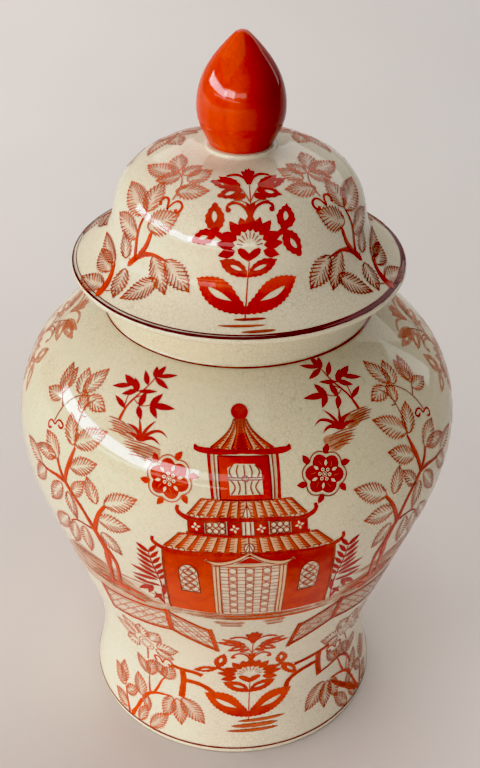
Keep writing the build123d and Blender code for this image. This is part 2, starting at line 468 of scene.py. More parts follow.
class Painter:
    """Paints one side of a shell. Every ink becomes one piece of thin sheets on the shell.

    turn is added to every angle; at moves a motif's points to their place; shade is added to every tone,
    making a copy paler or deeper, in some places as painted light and shade.
    """

    def __init__(self, name, skin, turn=0.0):
        self.name, self.skin, self.turn = name, skin, turn
        self.at = as_drawn
        self.shade = 0.0
        self.sheets = {ink: ([], [], []) for ink in INKS}

    def sheet(self, ink, k, flat, faces, tone):
        """Adds a thin sheet to an ink. flat has its points in local millimetres, k of them to a degree."""
        points, tones, all_faces = self.sheets[ink]
        base = sum(len(q) for q in points)
        angle, rise = self.at(flat[:, 0] / k, flat[:, 1])
        layer = np.full(len(flat), LAYER_STEP * (len(points) % LAYERS))
        points.append(np.stack([angle + self.turn, rise, layer], 1))
        own = tone(flat / (k, 1)) if callable(tone) else np.full(len(flat), tone)
        tones += list(own + self.shade)
        all_faces += [[base + i for i in f] for f in faces]

    def flat(self, points):
        """Painted points as local millimetres, and the millimetres per degree used."""
        k = self.skin.scale(sum(r for _, r in points) / len(points))
        return k, np.array([(a * k, r) for a, r in points], float)

    def stroke(self, points, width=0.45, tone=0.6, ink="line", taper=0.0, step=1.3, sharp=False):
        """A brush stroke. width is in millimetres, one or several along it; taper points its ends."""
        k, flat = self.flat(points)
        if sharp:
            legs = [spline(ends, step=step)[:-1] for ends in zip(flat, flat[1:])]
            path = np.concatenate(legs + [flat[-1:]])
        else:
            path = spline(flat, step=step)
        along = np.gradient(path, axis=0)
        along /= np.maximum(np.linalg.norm(along, axis=1), 1e-9)[:, None]
        side = np.stack([-along[:, 1], along[:, 0]], 1)
        t = np.linspace(0, 1, len(path))
        widths = (width,) if isinstance(width, (int, float)) else width
        half = np.interp(t, np.linspace(0, 1, len(widths)), widths) / 2
        if taper:
            half *= np.clip(np.minimum(t, 1 - t) / taper, 0.1, 1) ** 0.7
        half *= np.array([hand.uniform(0.9, 1.1) for _ in t])
        columns = 2 + int(max(widths) / (0.4 if ink == "maroon" else 2.5))
        across = np.linspace(-1, 1, columns)
        points = (path[:, None] + side[:, None] * (half[:, None] * across)[..., None]).reshape(-1, 2)
        faces = [
            [i * columns + j, i * columns + j + 1, (i + 1) * columns + j + 1, (i + 1) * columns + j]
            for i in range(len(path) - 1) for j in range(columns - 1)
        ]
        self.sheet(ink, k, points, faces, tone)

    def patch(self, outline, tone=0.7, ink="red", holes=(), saw=0.0):
        """A filled shape. outline and holes are points joined straight, or lists of curves end to end.

        saw is the depth in millimetres of the teeth along the outline.
        """
        k, _ = self.flat([q for part in outline for q in (part if isinstance(part, list) else [part])])
        loops = []
        for loop in (outline, *holes):
            if not isinstance(loop[0], list):
                loop = [[a, b] for a, b in zip(loop, loop[1:] + loop[:1])]
            curves = [[(a * k, r) for a, r in curve] for curve in loop]
            loops.append(np.concatenate([spline(curve, step=1.1 if saw else 1.4)[:-1] for curve in curves]))
        if saw:
            ring = loops[0]
            along = np.roll(ring, -1, 0) - np.roll(ring, 1, 0)
            out = np.stack([along[:, 1], -along[:, 0]], 1)
            out /= np.maximum(np.linalg.norm(along, axis=1), 0.1)[:, None]
            twist = np.sum(ring[:, 0] * np.roll(ring[:, 1], -1) - ring[:, 1] * np.roll(ring[:, 0], -1))
            loops[0] = ring + out * (saw * np.sign(twist) * (np.arange(len(ring)) % 2))[:, None]
        low, high = loops[0].min(0), loops[0].max(0)
        # points inside, so that the sheet bends with the shell
        gap = 2.6
        spans = [np.arange(a + gap / 2, b, gap) for a, b in zip(low, high)]
        grid = np.stack(np.meshgrid(*spans), -1).reshape(-1, 2)
        if len(grid):
            edge = np.concatenate(loops)
            clear = np.array([np.min(np.abs(edge - q).sum(1)) > 0.9 for q in grid])
            grid = grid[inside(grid, loops) & clear]
        coords, edges = [], []
        for loop in loops:
            n = len(coords)
            coords += [Vector(q) for q in loop]
            edges += [(n + i, n + (i + 1) % len(loop)) for i in range(len(loop))]
        coords += [Vector(q) for q in grid]
        verts, _, faces, *_ = delaunay_2d_cdt(coords, edges, [], 0, 1e-5)
        verts = np.array([tuple(v) for v in verts])
        middles = np.array([verts[f].mean(0) for f in faces])
        faces = [f for f, keep in zip(faces, inside(middles, loops)) if keep]
        self.sheet(ink, k, verts, faces, tone)

    def disc(self, centre, radius, tone=0.7, ink="red", squash=1.0):
        k = self.skin.scale(centre[1])
        ring = [(centre[0] + radius * math.cos(t) / k, centre[1] + radius * squash * math.sin(t))
                for t in np.linspace(0, 2 * math.pi, 9)]
        self.patch([ring], tone, ink)

    def ring(self, centre, radius, width=0.35, tone=0.6, squash=1.0):
        k = self.skin.scale(centre[1])
        self.stroke([(centre[0] + radius * math.cos(t) / k, centre[1] + radius * squash * math.sin(t))
                     for t in np.linspace(0, 2 * math.pi, 9)], width, tone, step=0.8)

    def frame_of(self, base, tip, width):
        """A function from (share along, share across) of a leaf to a painted point."""
        k = self.skin.scale((base[1] + tip[1]) / 2)
        b, t = np.array((base[0] * k, base[1])), np.array((tip[0] * k, tip[1]))
        along = t - b
        side = np.array((-along[1], along[0])) / np.linalg.norm(along) * width / 2
        def at(x, y):
            q = b + along * x + side * y
            return q[0] / k, q[1]
        return at, float(np.linalg.norm(along))

    def leaf(self, base, tip, width, tone=0.55, fill=0.0):
        """A veined leaf: a saw edge and hatching that leaves its middle open. fill is the wash under it."""
        if fill:
            self.blade(base, tip, width * 1.05, fill - self.shade, "wash")
        at, length = self.frame_of(base, tip, width * 1.08)
        def swell(x):
            return math.sin(math.pi * x ** 0.84) ** 0.8 if 0 < x < 1 else 0.0
        count = max(5, round(length / 1.65))
        for side in (-1, 1):
            edge = [(0, 0)]
            for i in range(count):
                edge += [((i + 0.35) / count, 0.82), ((i + 0.98) / count, 1.18)]
            outline = [at(x, side * y * swell(x)) for x, y in edge[:-1]] + [at(1.04, 0)]
            self.stroke(outline, 0.46, tone + 0.1, sharp=True)
            for i in range(count):
                x = (i + 0.75) / count
                root, head = max(x - 2.8 / length, 0.02), x + 0.4 / length
                start = at(root, side * swell(x) * hand.uniform(0.1, 0.34))
                end = at(head, side * swell(min(head, 0.99)) * 1.06)
                self.stroke([start, end], (0.24, 0.42, 0.52), tone + hand.uniform(-.15, .2))

    def blade(self, base, tip, width, tone=0.75, ink="red", lens=0.0, saw=0.0):
        """A solid leaf, with its middle left open if it has a lens."""
        at, _ = self.frame_of(base, tip, width)
        edge = ((0, 0), (.2, .72), (.45, 1), (.75, .62), (1, 0))
        opening = ((-.24, .1), (0, .4), (.22, .12), (0, -.32), (-.24, .1))
        one, other = ([at(x, side * y) for x, y in edge] for side in (1, -1))
        hole = [[at(.52 + x * lens, y * lens) for x, y in opening]]
        self.patch([one, other[::-1]], tone, ink, [hole] if lens else (), saw)

    def dashes(self, left, right, low, high, count, tone=0.5, width=1.0, ink="wash"):
        """Level brush marks that stand for ground."""
        for _ in range(count):
            a, b = sorted(hand.uniform(left, right) for _ in range(2))
            b = max(b, a + (right - left) * 0.25)
            r = hand.uniform(low, high)
            self.stroke([(a, r), ((a + b) / 2, r + hand.uniform(-.8, .8)), (b, r + hand.uniform(-.5, .5))],
                        hand.uniform(0.5, 1.2) * width, tone + hand.uniform(-.25, .25), ink, taper=0.3)

    def finish(self):
        """Makes the sheets of each ink one piece on the shell, shaded with the shell's own directions."""
        for ink, (points, tones, faces) in self.sheets.items():
            if not points:
                continue
            material, lift = INKS[ink]
            angle, rise, layer = np.concatenate(points).T
            verts, normals = self.skin.place(angle, rise, lift + layer)
            turned_faces = []
            for f in faces:
                a, b, c = verts[f[0]], verts[f[1]], verts[f[2]]
                turned_faces.append(f if np.dot(np.cross(b - a, c - a), normals[f[0]]) > 0 else f[::-1])
            name = f"{self.name}_{ink}"
            obj = finish_mesh(name, verts, turned_faces, [material], [0] * len(faces), self.skin.body, 180)
            stored = obj.data.attributes.new("tone", "FLOAT", "POINT")
            stored.data.foreach_set("value", np.array(tones, "f"))
            obj.data.normals_split_custom_set_from_vertices([tuple(v) for v in normals])


def sided(m, *points):
    """The points as they are if m is 1, mirrored about the motif's upright if it is -1."""
    return [(m * x, y) for x, y in points]


def between(a, b, share):
    """The point a share of the way from a to b."""
    return tuple(a[i] + (b[i] - a[i]) * share for i in (0, 1))


# ---------------------------------------------------------------- motifs

LID_MARKS = ((2.4, -4, 7.5, 1.3, 0.7), (-0.6, -9, 7, 1.0, 0.5), (-3.2, -1, 10.5, 1.4, 0.7))
FOOT_MARKS = ((2.4, -5, 17.5, 2.2, 0.5), (-0.6, -8, 14, 2.9, 0.4), (-3.4, -10, 14, 2.3, 0.5))


def palmette(p, centre, base, size, unit, narrow=1.0, ink="red", marks=LID_MARKS):
    """The upright flower spray: leaf pairs, a fan-shaped flower, scrolls and a tulip.

    Drawn in millimetres, unit to a degree. narrow is the width left to the part above the scrolls.
    marks are the ground's brush marks: height, both ends, width, tone.
    """
    blade_size = size * (0.4 + 0.6 * narrow)

    def q(x, y):
        x *= 1 - (1 - narrow) * min(max((y - 36) / 19, 0), 1)
        return centre(base + y * size) + x * size / unit, base + y * size

    def curve(*points):
        return [q(x, y) for x, y in points]

    def darker_down(points):
        return 0.25 + 0.6 * np.clip((base + 20 * size - points[:, 1]) / (15 * size), 0, 1)

    for y, a, b, width, tone in marks:
        for share, mark_ink, depth in ((1, "wash", 1.2), (0.6, "line", tone)):
            widths = [width * share * x for x in (.6, 1, 1, .6)]
            line = curve((a, y - .2), ((a + b) / 2, y + .1), (b, y + .2))
            p.stroke(line, widths, depth, mark_ink, taper=0.1)
        p.stroke(curve((a + 2, y - .6), (b - 3, y - .3)), 0.3, tone + 0.3, taper=0.3)
    p.stroke(curve((0, 3), (0.3, 27)), 0.5, 0.6, ink)
    p.stroke(curve((0.4, 48), (0.3, 54), (0.2, 62)), 0.5, 0.7, ink)
    for m in (1, -1):
        side = lambda *points: curve(*sided(m, *points))
        # three pairs of leaves up the stem
        opening = side((5.4, 10.3), (8.6, 12.9), (12.6, 14.9), (15.6, 15.5), (13.8, 13.1), (10.2, 11.1),
                       (5.4, 10.3))
        p.patch([side((0, 5), (5.5, 5.3), (11.5, 7.4), (17, 12), (20.6, 18.6)),
                 side((20.6, 18.6), (16.5, 19.6), (11, 19.4), (6.4, 16.4), (3.2, 12), (0.8, 8.6), (0, 5))],
                darker_down, ink, [[opening]], saw=0.5)
        opening = side((2.2, 23.4), (4.6, 25.3), (7.6, 25.6), (5, 23.6), (2.2, 23.4))
        p.patch([side((0, 20.6), (5.5, 21.2), (9.6, 23.6), (12, 27.4)),
                 side((12, 27.4), (8, 28.2), (4, 27.2), (1.6, 25), (0, 20.6))],
                0.7, ink, [[opening]], saw=0.35)
        p.patch([side((0, 27.2), (3.2, 29.2), (5, 32.2), (4, 33), (2, 32.4), (0, 30.6)),
                 side((0, 30.6), (0, 27.2))], 0.75, ink)
        # scrolls and the arms under the tulip
        p.stroke(side((0.2, 46.6), (2.2, 49.6), (5.5, 51.8), (9, 52.3), (12, 51), (12.2, 49.2)),
                 (1.7, 1.5, 1.3, 1.2, 1.3, 1.2), 0.7, ink, step=0.9)
        p.disc(q(m * 11.4, 48.8), 1.2 * size, 0.75, ink)
        p.stroke(side((1.6, 51.8), (4.5, 53.4), (8, 53.6), (11, 52.6)), 0.5, 0.5)
        p.stroke(side((0.6, 62.6), (3, 66), (7, 68.2), (12, 68.8), (18, 67.2)),
                 (0.8, 1.1, 1.4, 1.6, 1.1), 0.75, ink)
        p.stroke(side((0.2, 53), (3.6, 58), (9, 62.6)), 0.5, 0.6)
        for *ends, width, lens in ((2.4, 56.8, 10, 54.2, 3.2, 0), (5, 60, 19.5, 55, 6.2, 0.9),
                                   (6, 61.4, 24, 66.4, 4.6, 0), (7, 61.4, 28.5, 63, 5.2, 0.7)):
            p.blade(*side(ends[:2], ends[2:]), width * blade_size, 0.75, ink, lens, 0.4)
    # the pair of leaves out to each side
    for root, high, low, widths in (((-15.4, 38.6), (-19.4, 52), (-25.6, 34), (7.6, 6)),
                                    ((15.6, 39.4), (20.2, 50), (23, 27), (7.6, 7))):
        p.stroke(curve((root[0] * 0.56, 35.6), root), (3.0, 2.0), 0.7, ink)
        for tip, width in zip((high, low), widths):
            p.blade(q(*root), q(*tip), width * blade_size, 0.7, ink, 0.85, 0.45)
    # fan-shaped flower: pointed petals over rays
    for i in range(11):
        t = math.radians(-16 + 21.2 * i)
        c, s = math.cos(t), math.sin(t)
        reach = 14.8 if i % 2 else 13.6
        root, tip = curve((6.2 * c, 33.4 + 6.2 * s), (reach * c, 33 + reach * s))
        p.blade(root, tip, 4.0 * size, 0.6 + 0.03 * i, ink, saw=0.15)
    for i in range(9):
        t = math.radians(10 + 160 * i / 8)
        c, s = math.cos(t), math.sin(t)
        p.stroke(curve((3.2 * c, 33.6 + 3.2 * s), (5.7 * c, 33.6 + 5.8 * s)), (0.25, 0.5), 0.7)
    # bud and tulip
    p.patch([curve((-2.4, 53), (0, 46.2), (2.4, 53), (0, 51.6), (-2.4, 53))], 0.75, ink)
    p.patch([curve((0, 62), (-2.6, 65.4), (-4.6, 68.4), (-6, 71.8), (-3.2, 71.2), (-1.7, 73.4), (0.4, 72.6),
                   (2, 74), (3.4, 71.8), (6.2, 71.6), (4.8, 68.4), (2.6, 65.2), (0, 62))], 0.85, ink)


def scroll(p, left, right, rise, tone=0.6):
    """A tendril that curls at both ends, between two angles."""
    wide = right - left
    p.stroke([(left + wide * x, rise - 0.4 + 5.4 * y) for x, y in
              ((.09, .2), (0, .55), (.12, .95), (.32, .8), (.44, .15), (.56, .7), (.76, 1.0), (.97, .8),
               (1, .3), (.88, .05), (.79, .3))],
             (1.4, 1.1, 0.8, 1.1, 1.4), tone, "red", step=0.7)


def tree(p):
    """The leafy tree at the left of the pagoda."""
    for width, points in (
        ((2.2, 2.2, 2.6, 4.0, 4.0, 3.4, 2.8, 2.2, 2.0, 2.2),
         [(-37.8, 121), (-36.2, 133), (-35.2, 143), (-34.6, 150), (-35.6, 157), (-37.2, 163),
          (-38.8, 168), (-41, 173), (-43.5, 177), (-46.3, 181)]),
        ((2.0, 2.0, 2.4, 3.0), [(-34.8, 121), (-33.2, 134), (-32.8, 144), (-34.4, 152)]),
        ((3.0, 2.5, 2.1, 1.4), [(-36.8, 163), (-35.6, 170), (-34.2, 176), (-32.8, 180)]),
        ((1.4, 1.0, 0.8, 0.5), [(-38, 162), (-41, 162.2), (-44, 161), (-46, 158)]),
        ((2.0, 2.4, 2.6, 0.8), [(-46.3, 181), (-45.8, 188), (-45, 194), (-44.5, 200)]),
        ((2.2, 2.0, 1.6), [(-46.5, 181.5), (-48.4, 185), (-50, 190)]),
        ((2.4, 1.8, 1.2, 0.7), [(-46, 181), (-50, 180.8), (-54, 179.4), (-58.5, 179)]),
    ):
        p.stroke(points, width, 0.3, "red")
        p.stroke([(a + 0.35 * width[0] / 2, r) for a, r in points], 0.4, 0.5)
    for points in (
        [(-44.5, 200), (-45.6, 206), (-46.4, 213), (-46.4, 219), (-44.6, 223.4)],
        [(-54.9, 204), (-54.3, 211), (-52.8, 217), (-50.4, 221), (-47.4, 223.2)],
        [(-46.4, 214), (-44.8, 214.6)],
        [(-54.3, 212), (-56.6, 215)],
    ):
        p.stroke(points, 0.45, 0.5)
    for a, r, tip_a, tip_r, width in (
        (-49.6, 190, -56.4, 197.5, 8.6), (-44.6, 190, -36.6, 198, 7.2), (-45.2, 200.5, -50, 212, 7),
        (-44.8, 201.5, -36.4, 213, 8.4), (-47, 215, -49.6, 224, 5), (-50.4, 223, -47.6, 237.4, 7.2),
        (-51, 221.5, -54.8, 232.5, 6.8), (-47.4, 223, -39.9, 221, 6.4), (-57.4, 216.5, -62.2, 229, 6.4),
        (-57.6, 218, -59, 229, 6), (-56.4, 214.6, -63.8, 213, 6.2), (-33, 180.5, -24.2, 189, 8),
        (-35.4, 179, -38.8, 190, 6.4), (-35.2, 171, -26, 172.2, 8), (-34.6, 163, -29.6, 152.6, 7.2),
        (-40.6, 160.5, -41.6, 141.5, 6.4), (-44.4, 158.5, -48.8, 139, 7), (-47, 160, -56, 142, 7.6),
        (-47.6, 178.6, -53.4, 163.5, 7), (-45.4, 176.5, -43, 163, 6.4), (-55, 179.6, -61, 167, 7),
        (-57, 180, -66, 184, 6.6), (-50.6, 190, -60, 186.5, 6), (-43.8, 176, -39.6, 187, 5.6),
    ):
        p.leaf((a, r), (tip_a, tip_r), width, 0.2)
    # tendril
    p.stroke([(-55.2, 200.6), (-56.4, 199.6), (-57, 201.6), (-55.8, 203.4), (-54.2, 203), (-53.7, 205.2),
              (-52, 205.9), (-50.9, 204.6), (-51.6, 203.2), (-52.8, 203.8)],
             (1.0, 0.8, 0.8, 1.0), 0.7, "red", step=0.7)


def sprig(p):
    """The solid-leaved sprig on its patch of ground, above the tree."""
    for points, width in (
        ([(-34.2, 220), (-33.9, 227), (-32.4, 233), (-30.6, 238.5), (-29.4, 243)], (1.3, 0.9, 0.7, 0.5)),
        ([(-34, 224), (-35, 229), (-35.4, 234)], 0.5),
        ([(-32.6, 232), (-30.6, 234)], 0.5),
        ([(-32.6, 231), (-29, 229.5), (-27, 231)], 0.4),
    ):
        p.stroke(points, width, 0.6, "red")
    for a, r, tip_a, tip_r, width in (
        (-29.6, 243, -27.6, 250, 3.6), (-29.2, 244, -21.8, 247.2, 2.6), (-29.6, 243.4, -23.2, 240, 3.2),
        (-29.4, 243, -31, 248.6, 3.4), (-30.6, 239, -34.4, 245, 3.2), (-34.6, 236.5, -40.6, 239.5, 4.2),
        (-36, 236.5, -42.4, 232.4, 3), (-32.8, 234.6, -36.4, 240, 4), (-33, 235, -26.4, 237.6, 2.4),
        (-33, 235.4, -37.6, 231, 3.4), (-34, 226, -39.4, 229.4, 2.8), (-30, 228.6, -30.2, 236.4, 3.8),
        (-30.6, 229, -27.8, 223.6, 3.4), (-27, 230.6, -24.4, 237.4, 3.8), (-26.8, 231.4, -18.8, 232, 3.6),
        (-27, 231.6, -23.4, 226, 3.4),
    ):
        p.blade((a, r), (tip_a, tip_r), width * 0.84, 1.1)
    for tuft in (
        [(-28, 219), (-31.4, 220.2)], [(-27.4, 221), (-28.6, 224.4)], [(-25.2, 220.6), (-23.4, 225)],
        [(-23.6, 219.8), (-20.8, 221), (-18.8, 219)], [(-23, 217.4), (-20.4, 215.4)],
        [(-28.2, 216.6), (-31, 216.4)],
    ):
        p.stroke([(-26, 214.8)] + tuft, (1.7, 1.5, 0.4), 0.85, "red", taper=0.15)
    # the ground: level lines over a thin wash
    for left, right, low, high in ((-39, -27.4, 214.4, 220.4), (-31.6, -19.6, 207.6, 214.4)):
        middle = (left + right) / 2
        p.patch([[(left + 3, high - 2.4), (middle, high - 1.4), (right, high - 2), (right - 1, low),
                  (middle + 2, low - .4), (left + 3, high - 2.4)]], 0.45, "wash")
        for i in range(6):
            share = (i + .5) / 6
            rise = high + (low - high) * share
            start = left + (right - left) * (0.3 * share + hand.uniform(-.08, .16))
            end = right + hand.uniform(-4, .8)
            p.stroke([(start, rise), ((start + end) / 2, rise + .4), (end, rise - .3)], (0.5, 0.36), 0.4,
                     taper=0.15)


def rosette(p, centre):
    """A six-lobed flower inside its own outline, with leaf tips round it."""
    k = p.skin.scale(centre[1])
    def q(radius, angle):
        return centre[0] + radius * math.cos(angle) / k, centre[1] + radius * math.sin(angle)
    sweep = [2 * math.pi * i / 36 + math.pi / 12 for i in range(37)]
    def lobed(radius, depth):
        return [q(radius + depth * abs(math.sin(3 * (t - math.pi / 12))), t) for t in sweep]
    p.stroke(lobed(8.8, 1.5), 0.5, 0.7, step=0.9)
    p.patch([lobed(6.9, 2.1)], 0.95)
    for i in range(6):
        t = math.pi * i / 3 + math.pi / 12
        p.blade(q(3.6, t), q(6.4, t), 1.5, 0.5, "reserve")
        p.disc(q(2.3, t + math.pi / 6), 0.85, 0.5, "reserve")
        p.disc(q(2.3, t + math.pi / 6), 0.35, 0.8, "line")
        p.stroke([q(4.2, t + math.pi / 6 - 0.1), q(6.6, t + math.pi / 6 + 0.06)], (0.5, 0.3), 0.1, "line")
        p.blade(q(8.7, t + 0.08), q(13.2, t - 0.06), 3.0, 0.9)
    p.disc(q(0, 0), 1.2, 0.5, "reserve")
    p.ring(q(0, 0), 0.7, 0.4, 0.7)


def roof(p, top, half_top, low, half_low, tip, half_tip, tiles, rows, bow=1.0, eave=2.6):
    """A tiled roof seen from the front, fanning out to its eaves, with turned-up corners."""
    half = lambda h: half_top + (half_low - half_top) * h ** bow
    rise = lambda h: top + (low - top) * h
    steps = (0, .25, .5, .75, 1)
    edge = [(half(h), rise(h)) for h in steps]
    p.patch([sided(-1, *edge), [(-half_low, low), (0, low - 0.8), (half_low, low)], edge[::-1],
             [(half_top, top), (-half_top, top)]], 0.5, "pale")
    p.stroke([(-half_top, top), (half_top, top)], 0.6, 0.7, "red")
    across = p.skin.scale(low) * half_low * 2 / tiles
    at_top = half_top / half_low
    for i in range(tiles + 1):
        side = -1 if i < tiles / 2 else 1
        line = lambda x: [(x * half(h), rise(h)) for h in steps]
        t = -1 + 2 * i / tiles
        p.stroke(line(t), (min(0.5, across * at_top * 0.4), 0.5), 0.75)
        if i == tiles:
            continue
        # a red strip down the tile, with short cross strokes out of it
        t += (0.3 if side < 0 else 1.7) / tiles
        p.stroke(line(t), (across * .24 * at_top, across * .42), 0.0, "red")
        near, far = t + side * 0.3 / tiles, t - side * 1.15 / tiles
        for j in range(rows):
            h = (j + 0.5) / rows
            p.stroke([(near * half(h), rise(h) - 0.5), (far * half(h), rise(h) + 0.4)], (0.6, 0.32), 0.5)
    # eave and its turned-up corners
    corner = [(half_low * .5, low - 1.2), (half_low + .6, low - 1.2),
              (half_tip + .2, (tip + low) / 2), (half_tip, tip)]
    p.stroke(sided(-1, *corner[::-1]) + [(0, low - 1)] + corner,
             (1.5, eave, eave, eave * .8, eave * .75, eave * .8, eave, eave, 1.5), 0.8, "red")
    for i in range(tiles):
        t = (-1 + 2 * (i + .5) / tiles) * half_low
        p.disc((t, low - 0.2), across * 0.3, 0.2, "pale", 0.6)
        p.ring((t, low - 0.2), across * 0.3, 0.35, 0.8, 0.6)


def lattice(p, left, right, low, high, columns, rows):
    """Fretwork: columns of rounds between columns of bars."""
    wide, tall = (right - left) / columns, (high - low) / rows
    k = p.skin.scale((low + high) / 2)
    for i in range(columns + 1):
        p.stroke([(left + i * wide, low), (left + i * wide, high)], 0.36, 0.3)
    for j in range(rows):
        y = low + (j + .5) * tall
        for i in range(columns):
            x = left + (i + .5) * wide
            if i % 2:
                p.ring((x, y), wide * k * 0.5, 0.4, 0.38, min(tall / (wide * k), 1.6) * 0.8)
            for shift in (.5,) if i % 2 else (-.2, .2):
                p.stroke([(x - wide / 2, y + shift * tall), (x + wide / 2, y + shift * tall)], 0.34, 0.25)


def net(p, a, b, c, d, across, up, width=0.28, wave=0.0, tone=0.4):
    """Crossing threads in the four-sided field a, b (foot) to d, c (head)."""
    def q(u, v):
        foot, head = between(a, b, u), between(d, c, u)
        return between(foot, head, v)
    for i in range(across + up):
        start = (i - up + 0.5) / across
        for way in (1, -1):
            points = []
            for j in range(up * 4 + 1):
                v = j / (4 * up)
                u = start + v * up / across
                if 0 <= u <= 1:
                    u += wave / across * math.sin(j * math.pi / 2)
                    points.append(q(u if way > 0 else 1 - u, v))
            if len(points) > 2:
                p.stroke(points, width, tone, step=1.2)


def pagoda(p):
    """Three roofs over an upper room, a gallery and the red hall. Angles are from its upright."""
    p.disc((0, 234.0), 3.7, 0.9)
    p.patch([(-1.2, 231), (1.2, 231), (1.2, 228), (1.6, 216.4), (-1.6, 216.4), (-1.2, 228)], 0.85)
    roof(p, 230.6, 1.9, 217.6, 8.4, 218.4, 12.2, 6, 10, 1.5)
    p.patch([(-1.2, 230), (1.2, 230), (1.6, 216.8), (-1.6, 216.8)], 0.85)
    upper_room(p)
    roof(p, 195.6, 10.8, 187.6, 14.2, 191.4, 16.4, 12, 5)
    gallery(p)
    roof(p, 177.6, 16.4, 168.4, 20.6, 172.6, 23.2, 14, 6, eave=3.2)
    hall(p)
    lattice(p, -7.3, 7.3, 118.6, 159.2, 7, 7)


def upper_room(p):
    """Two posts beside a wall with one barred window."""
    for m in (1, -1):
        p.patch(sided(m, (9.0, 215.4), (7.4, 215.4), (6.6, 196), (8.0, 196)), 0.3, "wash")
        p.stroke(sided(m, (8.9, 215.4), (7.9, 196)), 1.3, 0.75, "red")
        p.stroke(sided(m, (7.5, 215.4), (6.8, 196)), 0.5, 0.7)
    wall = [(-6.5, 214.6), (6.5, 214.6), (6.1, 195.8), (-6.1, 195.8)]
    p.patch(wall, lambda q: 0.35 + 0.02 * (q[:, 1] - 196) + 0.03 * q[:, 0], "red",
            [[(-4.2, 209.6), (-2.2, 211.6), (2.8, 211.4), (4.2, 208.6), (4.2, 198.2), (-3.8, 198)]])
    p.stroke(wall + wall[:1], 0.6, 0.85, sharp=True)
    for x in (-3.1, -1.6, 0, 1.6, 3.1):
        p.stroke([(x * 1.1, 198.4), (x * 0.8, 201.4), (x * 1.15, 204.6)], 0.5, 0.7, step=0.9)
        p.stroke([(x * 1.0, 205.6), (x * 1.2, 208.4), (x * 0.9, 211)], 0.5, 0.7, step=0.9)
    for y in (204.6, 205.6):
        p.stroke([(-4.1, y), (4.2, y)], 0.42, 0.7)
    p.ring((0.1, 205.1), 1.4, 0.45)


def gallery(p):
    """The open gable on the middle roof, and the row of panels under it."""
    gable = [(-1.1, 188.2), (0, 194), (1.1, 188.2)]
    p.patch([gable[0], gable[2], gable[1]], 0.5, "reserve")
    p.stroke(gable, 0.4, 0.7, sharp=True)
    for m in (1, -1):
        for inner, outer, flower in ((1.5, 4.7, True), (5.2, 9.8, False), (10.3, 14.0, True)):
            corners = sided(m, (inner, 185.4), (outer, 185.4), (outer, 178.8), (inner, 178.8))
            x, y = m * (inner + outer) / 2, 182.1
            if flower:
                p.patch(corners, 0.75)
                for i in range(4):
                    t = math.pi * i / 2 + 0.2
                    c, s = math.cos(t), math.sin(t)
                    p.blade((x + 0.2 * c, y + 0.4 * s), (x + 1.15 * c, y + 2.3 * s), 1.2, 0.5, "reserve")
            else:
                for i in range(6):
                    p.ring((x + (i % 3 - 1) * 1.5, y + (1.6 if i > 2 else -1.6)), 1.3, 0.5, 0.65, 1.1)
            p.stroke(corners + corners[:1], 0.55, 0.75, sharp=True)
        p.stroke([(m * 0.6, 178.8), (m * 0.6, 185.4)], 0.5, 0.7)
    p.stroke([(-14.6, 178.4), (0, 178.2), (14.6, 178.4)], 1.2, 0.75, "red")


def hall(p):
    """Red walls with an arched window each side of the door frame and its porch."""
    for m in (1, -1):
        arch = [sided(m, (12.8, 136.5), (12.8, 152), (13.3, 156.4), (15.3, 158.6),
                      (17.2, 156.2), (17.7, 152), (17.8, 136.5)),
                sided(m, (17.8, 136.5), (12.8, 136.5))]
        darker_up = lambda q: (0.2 if m < 0 else 0.5) + 0.45 * np.clip((q[:, 1] - 140) / 24, 0, 1)
        wall = sided(m, (9.4, 118.2), (22.8, 118.2), (21, 166.8), (0, 168.6), (0, 166.4),
                     (2.4, 164.4), (5.4, 161.8), (9.2, 161))
        p.patch(wall, darker_up, "red", [arch])
        p.stroke(sided(m, (22.8, 118), (21, 166.6)), 1.0, 0.7)
        p.stroke([q for curve in arch for q in curve], 0.5, 0.8, step=1.2)
        net(p, *sided(m, (13.0, 137), (17.6, 137), (17.2, 157.4), (13.2, 157.4)), 2, 4, 0.5, 0.12)
        for y in (142, 147.5, 153):
            p.ring((m * 15.3, y), 2.2, 0.45, 0.6)
        # door frame
        p.patch(sided(m, (7.6, 118.2), (9.4, 118.2), (9.0, 160), (7.4, 160)), 0.2, "trim")
        for x in (7.6, 8.5, 9.4):
            p.stroke(sided(m, (x, 118.2), (x - .3, 160)), 0.45, 0.6)
        # porch roof, pale between two outlines
        sweep = sided(m, (0, 168.8), (2, 165.4), (5, 162.4), (8.6, 161.4), (10.8, 163.4))
        p.stroke(sweep, (1.9, 2.0, 2.0, 1.9, 1.2), 0.5, "trim")
        for shift in (-1.1, 1.1):
            p.stroke([(x, y + shift) for x, y in sweep[:-1]] + [sweep[-1]], 0.5, 0.75)
    p.patch([(-3.4, 161.8), (3.4, 161.8), (0, 165.8)], 0.75)
    p.patch([(-8.9, 159.4), (8.9, 159.4), (8.9, 161.2), (-8.9, 161.2)], 0.3, "trim")
    p.stroke([(-8.9, 159.4), (8.9, 159.4)], 0.5, 0.7)
    p.disc((0, 171.4), 2.2, 0.5, "reserve", 1.3)
    p.ring((0, 171.4), 2.2, 0.5, 0.75, 1.3)
    p.stroke([(-.9, 168.4), (0, 173.6), (.9, 168.4)], 0.4, 0.7)


